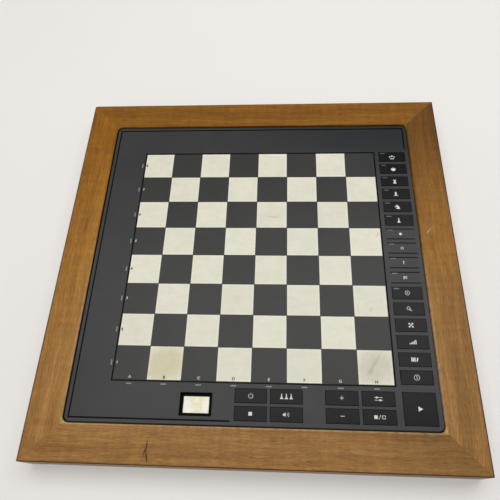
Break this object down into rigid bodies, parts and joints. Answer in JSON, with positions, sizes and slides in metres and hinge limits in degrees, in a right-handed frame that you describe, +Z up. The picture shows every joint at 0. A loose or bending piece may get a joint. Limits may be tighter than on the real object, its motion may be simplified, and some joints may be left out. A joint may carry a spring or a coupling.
{
  "type": "electronic chess computer",
  "caption": "Flat electronic chess computer with a pressure-sensing board, side and front keys and a small display, set into a mitred wooden surround.",
  "frame": {"origin": "middle of the footprint, on the table under the rubber feet", "axes": "+X to the player's right, towards the column of side keys; +Y away from the player, to the back with the power inlet; +Z up, out of the playing field"},
  "size_m": [0.4394, 0.4382, 0.034],
  "materials": {
    "rail_wood": "oiled, satin",
    "tongue_wood": "raw",
    "foot_rubber": "matte",
    "screw_steel": "zinc plated",
    "panel_plastic": "fine grained, satin",
    "base_plastic": "grained",
    "dark_squares": "satin print",
    "light_squares": "satin print, slightly yellowed",
    "sensor_film": "clear film",
    "spacer_film": "clear film",
    "key_plastic": "satin",
    "silicone": "matte",
    "circuit_board": "solder resist",
    "lamp_red": "tinted resin",
    "window_plastic": "milky",
    "bezel_plastic": "moulded",
    "display_glass": "clear",
    "display_reflector": "matte",
    "holder_plastic": "moulded",
    "connector_rubber": "matte",
    "chip_resin": "moulded",
    "crystal_can": "bright",
    "capacitor_sleeve": "sleeve",
    "sounder_brass": "plain",
    "flat_cable": "ribbed",
    "contact_steel": "nickel plated",
    "cell_sleeve": "printed sleeve, bare of print"
  },
  "bodies": {
    "case": {"front_rail": "rail_wood", "back_rail": "rail_wood", "left_rail": "rail_wood", "right_rail": "rail_wood", "mitre_tongues": "tongue_wood", "rubber_feet": "foot_rubber", "module_screws": "screw_steel", "upper_shell": "panel_plastic", "lower_shell": "base_plastic", "case_screws": "screw_steel", "playing_sheet": "dark_squares", "light_squares": "light_squares", "sensor_top_film": "sensor_film", "sensor_spacer": "spacer_film", "sensor_bottom_film": "sensor_film", "side_key_mat": "silicone", "front_key_mat": "silicone", "side_key_board": "circuit_board", "front_key_board": "circuit_board", "lamp_strip_board": "circuit_board", "lamps": "lamp_red", "lamp_windows": "window_plastic", "display_bezel": "bezel_plastic", "display_glass": "display_glass", "display_reflector": "display_reflector", "display_holder": "holder_plastic", "display_connectors": "connector_rubber", "main_board": "circuit_board", "chips": "chip_resin", "crystal": "crystal_can", "capacitors": "capacitor_sleeve", "board_screws": "screw_steel", "sounder": "sounder_brass", "power_inlet": "bezel_plastic", "ribbon_cables": "flat_cable", "battery_contacts": "contact_steel", "battery_cells": "cell_sleeve"},
    "king_button": {"king_key": "key_plastic"},
    "queen_button": {"queen_key": "key_plastic"},
    "rook_button": {"rook_key": "key_plastic"},
    "bishop_button": {"bishop_key": "key_plastic"},
    "knight_button": {"knight_key": "key_plastic"},
    "pawn_button": {"pawn_key": "key_plastic"},
    "normal_button": {"normal_key": "key_plastic"},
    "analysis_button": {"analysis_key": "key_plastic"},
    "set_up_button": {"set_up_key": "key_plastic"},
    "level_button": {"level_key": "key_plastic"},
    "library_button": {"library_key": "key_plastic"},
    "info_button": {"info_key": "key_plastic"},
    "play_button": {"play_key": "key_plastic"},
    "go_button": {"go_key": "key_plastic"},
    "stop_button": {"stop_key": "key_plastic"},
    "new_game_button": {"new_game_key": "key_plastic"},
    "sound_button": {"sound_key": "key_plastic"},
    "plus_button": {"plus_key": "key_plastic"},
    "minus_button": {"minus_key": "key_plastic"},
    "function_button": {"function_key": "key_plastic"},
    "colour_button": {"colour_key": "key_plastic"},
    "door": {"battery_door": "base_plastic"}
  },
  "joints": [
    {"name": "king_press", "type": "slide", "parent": "case", "child": "king_button", "axis": [0, 0, 1], "range_m": [-0.0007, 0], "stiffness_N_per_m": 800, "springref_m": 0.0006},
    {"name": "queen_press", "type": "slide", "parent": "case", "child": "queen_button", "axis": [0, 0, 1], "range_m": [-0.0007, 0], "stiffness_N_per_m": 800, "springref_m": 0.0006},
    {"name": "rook_press", "type": "slide", "parent": "case", "child": "rook_button", "axis": [0, 0, 1], "range_m": [-0.0007, 0], "stiffness_N_per_m": 800, "springref_m": 0.0006},
    {"name": "bishop_press", "type": "slide", "parent": "case", "child": "bishop_button", "axis": [0, 0, 1], "range_m": [-0.0007, 0], "stiffness_N_per_m": 800, "springref_m": 0.0006},
    {"name": "knight_press", "type": "slide", "parent": "case", "child": "knight_button", "axis": [0, 0, 1], "range_m": [-0.0007, 0], "stiffness_N_per_m": 800, "springref_m": 0.0006},
    {"name": "pawn_press", "type": "slide", "parent": "case", "child": "pawn_button", "axis": [0, 0, 1], "range_m": [-0.0007, 0], "stiffness_N_per_m": 800, "springref_m": 0.0006},
    {"name": "normal_press", "type": "slide", "parent": "case", "child": "normal_button", "axis": [0, 0, 1], "range_m": [-0.0007, 0], "stiffness_N_per_m": 800, "springref_m": 0.0006},
    {"name": "analysis_press", "type": "slide", "parent": "case", "child": "analysis_button", "axis": [0, 0, 1], "range_m": [-0.0007, 0], "stiffness_N_per_m": 800, "springref_m": 0.0006},
    {"name": "set_up_press", "type": "slide", "parent": "case", "child": "set_up_button", "axis": [0, 0, 1], "range_m": [-0.0007, 0], "stiffness_N_per_m": 800, "springref_m": 0.0006},
    {"name": "level_press", "type": "slide", "parent": "case", "child": "level_button", "axis": [0, 0, 1], "range_m": [-0.0007, 0], "stiffness_N_per_m": 800, "springref_m": 0.0006},
    {"name": "library_press", "type": "slide", "parent": "case", "child": "library_button", "axis": [0, 0, 1], "range_m": [-0.0007, 0], "stiffness_N_per_m": 800, "springref_m": 0.0006},
    {"name": "info_press", "type": "slide", "parent": "case", "child": "info_button", "axis": [0, 0, 1], "range_m": [-0.0007, 0], "stiffness_N_per_m": 800, "springref_m": 0.0006},
    {"name": "play_press", "type": "slide", "parent": "case", "child": "play_button", "axis": [0, 0, 1], "range_m": [-0.0007, 0], "stiffness_N_per_m": 800, "springref_m": 0.0006},
    {"name": "go_press", "type": "slide", "parent": "case", "child": "go_button", "axis": [0, 0, 1], "range_m": [-0.0007, 0], "stiffness_N_per_m": 800, "springref_m": 0.0006},
    {"name": "stop_press", "type": "slide", "parent": "case", "child": "stop_button", "axis": [0, 0, 1], "range_m": [-0.0007, 0], "stiffness_N_per_m": 800, "springref_m": 0.0006},
    {"name": "new_game_press", "type": "slide", "parent": "case", "child": "new_game_button", "axis": [0, 0, 1], "range_m": [-0.0007, 0], "stiffness_N_per_m": 800, "springref_m": 0.0006},
    {"name": "sound_press", "type": "slide", "parent": "case", "child": "sound_button", "axis": [0, 0, 1], "range_m": [-0.0007, 0], "stiffness_N_per_m": 800, "springref_m": 0.0006},
    {"name": "plus_press", "type": "slide", "parent": "case", "child": "plus_button", "axis": [0, 0, 1], "range_m": [-0.0007, 0], "stiffness_N_per_m": 800, "springref_m": 0.0006},
    {"name": "minus_press", "type": "slide", "parent": "case", "child": "minus_button", "axis": [0, 0, 1], "range_m": [-0.0007, 0], "stiffness_N_per_m": 800, "springref_m": 0.0006},
    {"name": "function_press", "type": "slide", "parent": "case", "child": "function_button", "axis": [0, 0, 1], "range_m": [-0.0007, 0], "stiffness_N_per_m": 800, "springref_m": 0.0006},
    {"name": "colour_press", "type": "slide", "parent": "case", "child": "colour_button", "axis": [0, 0, 1], "range_m": [-0.0007, 0], "stiffness_N_per_m": 800, "springref_m": 0.0006},
    {"name": "door_slide", "type": "slide", "parent": "case", "child": "door", "axis": [0, -1, 0], "range_m": [0, 0.012]}
  ]
}
